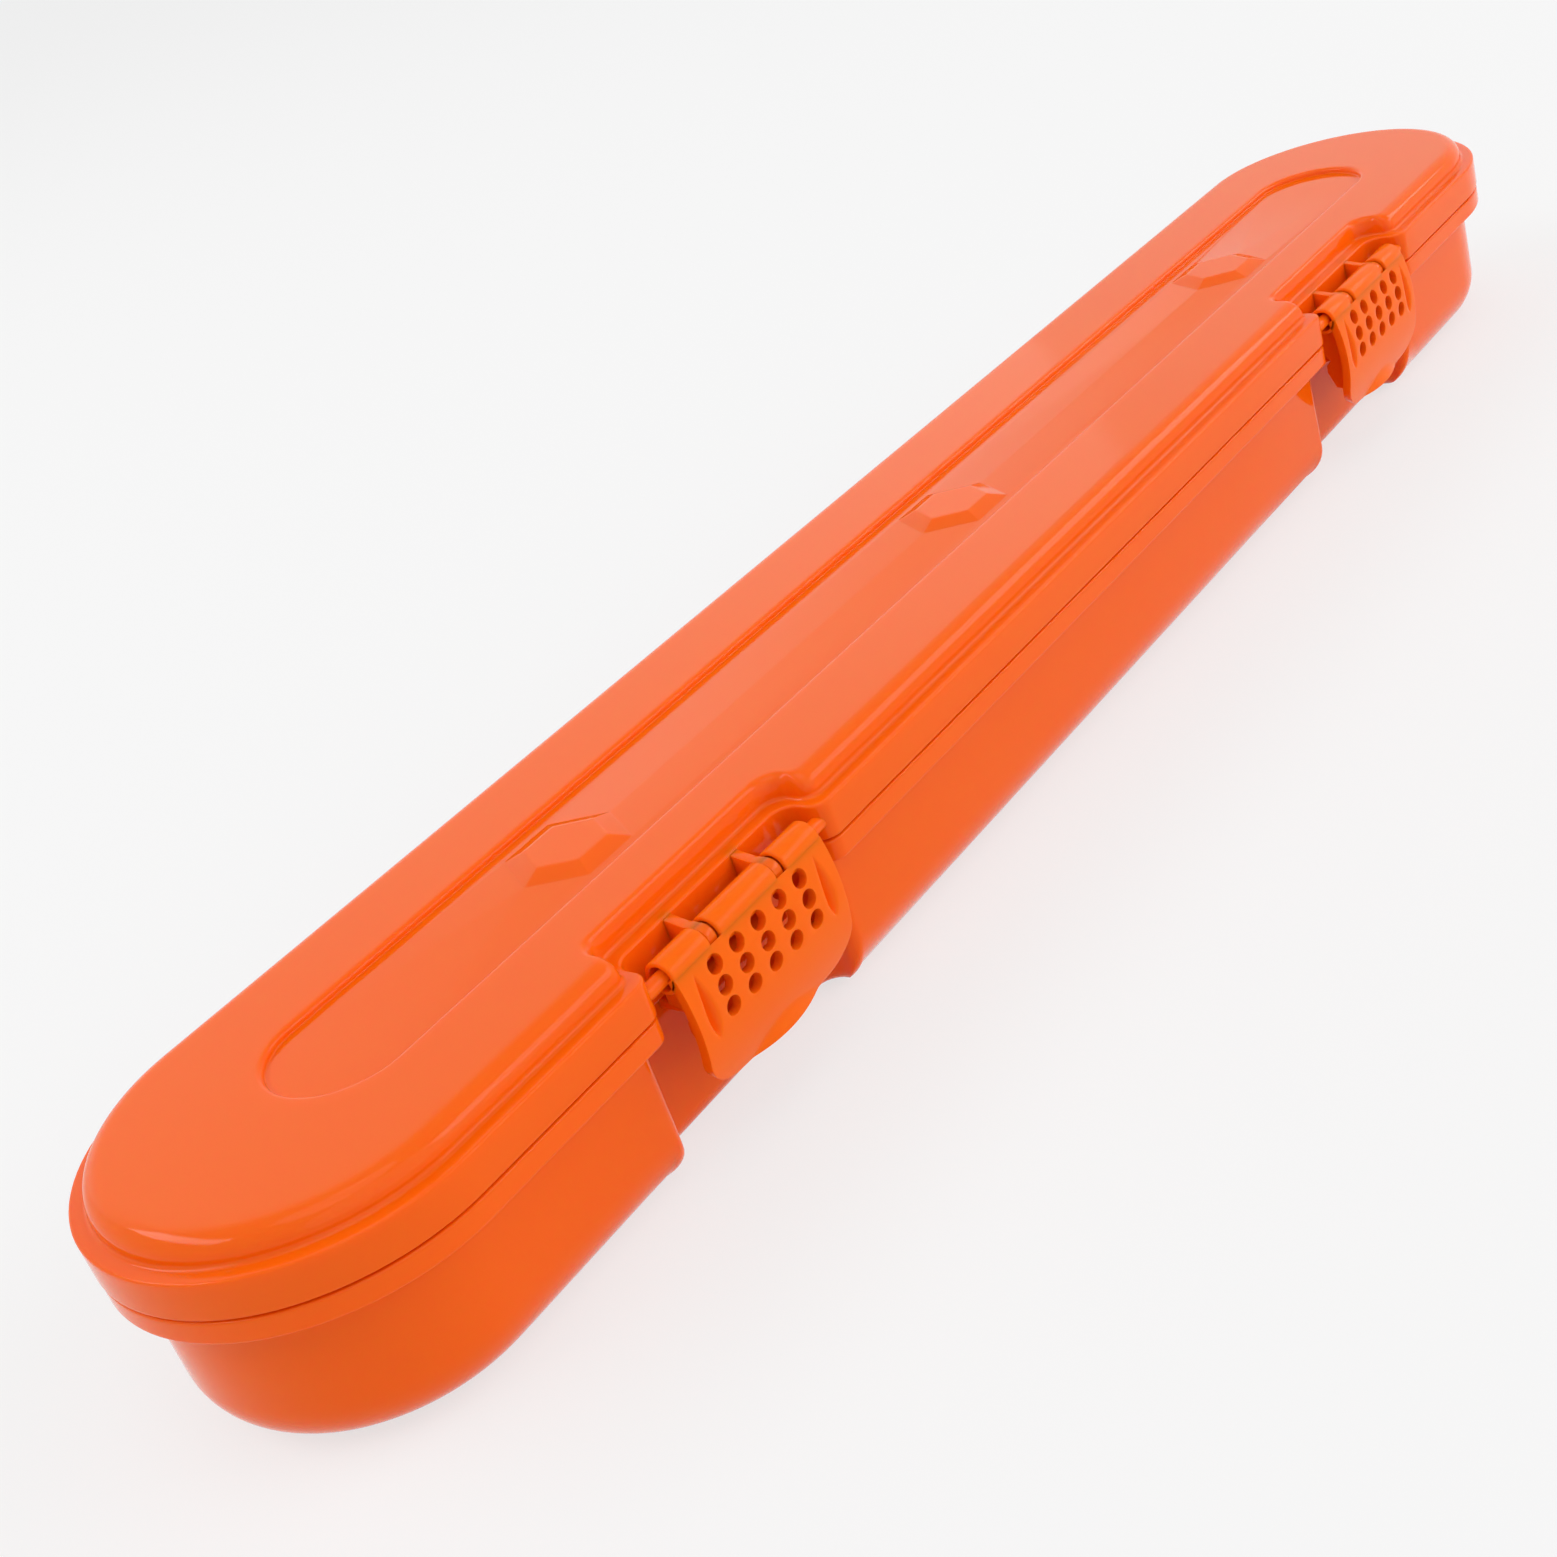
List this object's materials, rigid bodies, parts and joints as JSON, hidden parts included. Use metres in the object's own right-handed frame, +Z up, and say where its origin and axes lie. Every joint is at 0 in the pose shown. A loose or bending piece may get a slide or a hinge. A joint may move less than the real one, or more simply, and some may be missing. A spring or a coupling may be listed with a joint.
{
  "type": "chainsaw chain storage box",
  "caption": "Long round-ended clam-shell box with a tongue-sealed hinged lid, sunk lid panel and perforated snap latches; holds a folded saw chain.",
  "frame": {"origin": "centre of the base's flat underside, midway between the latches and midway across the rim", "axes": "+X along the box, from the left latch to the right one; -Y towards the latches, +Y towards the hinges; +Z up out of the lid"},
  "size_m": [0.5, 0.0891, 0.049],
  "materials": {
    "shell": "semi-gloss moulded orange polypropylene",
    "latch": "satin moulded orange plastic, a little lighter than the shells",
    "latch_pin": "smooth moulded orange plastic rod",
    "hinge_pin": "drawn steel wire"
  },
  "bodies": {
    "base": {"base": "shell", "hinge_pin_left": "hinge_pin", "hinge_pin_middle": "hinge_pin", "hinge_pin_right": "hinge_pin"},
    "lid": {"lid": "shell", "latch_pin_left": "latch_pin", "latch_pin_right": "latch_pin"},
    "latch_left": {"latch_left": "latch"},
    "latch_right": {"latch_right": "latch"}
  },
  "joints": [
    {"name": "lid_hinge", "type": "hinge", "parent": "base", "child": "lid", "pos_m": [0, 0.043, 0.0363], "axis": [-1, 0, 0], "range_deg": [0, 118]},
    {"name": "latch_left_hinge", "type": "hinge", "parent": "lid", "child": "latch_left", "pos_m": [-0.1384, -0.0377, 0.0401], "axis": [-1, 0, 0], "range_deg": [0, 100]},
    {"name": "latch_right_hinge", "type": "hinge", "parent": "lid", "child": "latch_right", "pos_m": [0.1384, -0.0377, 0.0401], "axis": [-1, 0, 0], "range_deg": [0, 100]}
  ]
}
